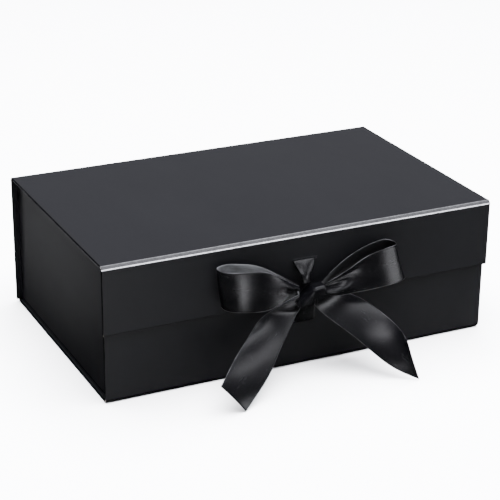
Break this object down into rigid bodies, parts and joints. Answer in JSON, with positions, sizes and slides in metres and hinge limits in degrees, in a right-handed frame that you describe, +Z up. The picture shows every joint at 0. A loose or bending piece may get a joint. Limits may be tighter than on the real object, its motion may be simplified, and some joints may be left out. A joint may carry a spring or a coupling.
{
  "type": "gift box",
  "caption": "Black rectangular gift box of wrapped board with a hinged lid and magnetic front flap, side walls set in, and a satin ribbon tied in a bow over the flap.",
  "frame": {"origin": "centre of the base's underside", "axes": "+X along the front to the viewer's right, -Y out of the front and its flap, +Z up out of the base"},
  "size_m": [0.266, 0.2131, 0.09],
  "materials": {
    "outer_paper": "matt laminated",
    "liner_paper": "matt",
    "greyboard": "raw",
    "ear_card": "matt, paper covered",
    "adhesive_tape": "matt",
    "strike_steel": "plain",
    "magnet_plating": "nickel plated",
    "satin_ribbon": "satin weave"
  },
  "bodies": {
    "tray": {"base_board": "greyboard", "base_wrap": "outer_paper", "base_liner": "liner_paper", "back_board": "greyboard", "back_wrap": "outer_paper", "back_liner": "liner_paper", "front_board": "greyboard", "front_wrap": "outer_paper", "front_liner": "liner_paper", "left_board": "greyboard", "left_wrap": "outer_paper", "left_liner": "liner_paper", "right_board": "greyboard", "right_wrap": "outer_paper", "right_liner": "liner_paper", "front_left_corner_angle": "ear_card", "front_right_corner_angle": "ear_card", "back_left_corner_angle": "ear_card", "back_right_corner_angle": "ear_card", "front_left_tape": "adhesive_tape", "front_right_tape": "adhesive_tape", "back_left_tape": "adhesive_tape", "back_right_tape": "adhesive_tape", "left_strike_plate": "strike_steel", "right_strike_plate": "strike_steel", "lower_lead": "satin_ribbon"},
    "lid": {"lid_board": "greyboard", "lid_wrap": "outer_paper", "lid_liner": "liner_paper"},
    "flap": {"flap_board": "greyboard", "flap_wrap": "outer_paper", "flap_liner": "liner_paper", "left_magnet": "magnet_plating", "right_magnet": "magnet_plating", "upper_lead": "satin_ribbon", "lower_lead_end": "satin_ribbon", "knot": "satin_ribbon", "left_loop": "satin_ribbon", "right_loop": "satin_ribbon", "left_tail": "satin_ribbon", "right_tail": "satin_ribbon"}
  },
  "joints": [
    {"name": "lid_fold", "type": "hinge", "parent": "tray", "child": "lid", "pos_m": [0, 0.08305, 0.08905], "axis": [-1, 0, 0], "range_deg": [0, 175]},
    {"name": "flap_fold", "type": "hinge", "parent": "lid", "child": "flap", "pos_m": [0, -0.08305, 0.08905], "axis": [-1, 0, 0], "range_deg": [0, 90]}
  ]
}
